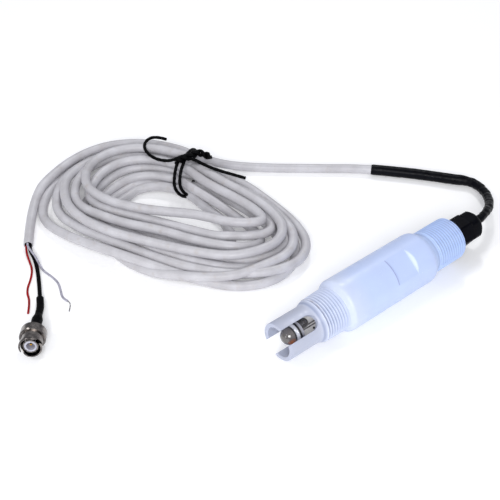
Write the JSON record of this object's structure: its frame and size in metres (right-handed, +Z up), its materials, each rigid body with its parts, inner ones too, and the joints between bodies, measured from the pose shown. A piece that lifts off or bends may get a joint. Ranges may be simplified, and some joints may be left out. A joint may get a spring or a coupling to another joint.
{
  "type": "ph electrode",
  "caption": "Industrial pH electrode with a threaded plastic housing, slotted tip guard, glass bulb, cable gland and a tied coil of cable ending in a bayonet plug and bare wires.",
  "frame": {"origin": "under the middle of the probe body, on the table it lies on", "axes": "+X along the probe from the sensing tip to the cable gland, +Z up"},
  "size_m": [0.3063, 0.235, 0.0315],
  "materials": {
    "housing_plastic": "satin white-blue engineering plastic",
    "glass": "clear blown glass",
    "ceramic": "porous ceramic, dark with use",
    "silver_wire": "drawn wire",
    "seal_rubber": "matt black rubber",
    "steel_case": "drawn steel case",
    "black_plastic": "black nylon, slightly glossy",
    "black_jacket": "black shrunk tube, soft sheen",
    "resin": "cast resin",
    "grey_jacket": "light grey cable jacket",
    "red_insulation": "red insulation",
    "white_insulation": "white insulation",
    "tinned_copper": "tinned strands, tarnished tip",
    "nickel": "nickel plate, worn",
    "white_insulator": "white fluoropolymer",
    "gold": "gold plate",
    "spring_steel": "spring steel"
  },
  "bodies": {
    "probe_and_cable": {"housing": "housing_plastic", "glass_electrode": "glass", "junction_frit": "ceramic", "sensing_wire": "silver_wire", "reference_wire": "silver_wire", "stem_stopper": "seal_rubber", "o_ring_front": "seal_rubber", "o_ring_rear": "seal_rubber", "temperature_sensor": "steel_case", "sensor_lead_red": "red_insulation", "sensor_lead_white": "white_insulation", "internal_coax": "black_jacket", "rear_potting": "resin", "gland_body": "black_plastic", "gland_seal": "seal_rubber", "gland_nut": "black_plastic", "cable_entry": "black_jacket", "sleeve": "black_jacket", "cable_lead": "grey_jacket", "cable_coil": "grey_jacket", "cable_tail": "grey_jacket", "red_wire": "red_insulation", "white_wire": "white_insulation", "white_wire_strands": "tinned_copper", "coax_lead": "black_jacket", "plug_boot": "black_jacket", "crimp_ferrule": "nickel", "plug_body": "nickel", "plug_insulator": "white_insulator", "centre_pin": "gold", "plug_gasket": "seal_rubber", "spring_washer": "spring_steel", "twist_tie": "black_jacket"},
    "thrust": {"thrust_ring": "spring_steel"},
    "coupling": {"coupling_nut": "nickel"}
  },
  "joints": [
    {"name": "coupling_travel", "type": "slide", "parent": "probe_and_cable", "child": "thrust", "axis": [-0.589, -0.7873, 0.1822], "range_m": [0, 0.0008], "stiffness_N_per_m": 1200},
    {"name": "coupling_turn", "type": "hinge", "parent": "thrust", "child": "coupling", "pos_m": [-0.1816, 0.0848, 0.00977], "axis": [-0.589, -0.7873, 0.1822], "continuous": true}
  ]
}
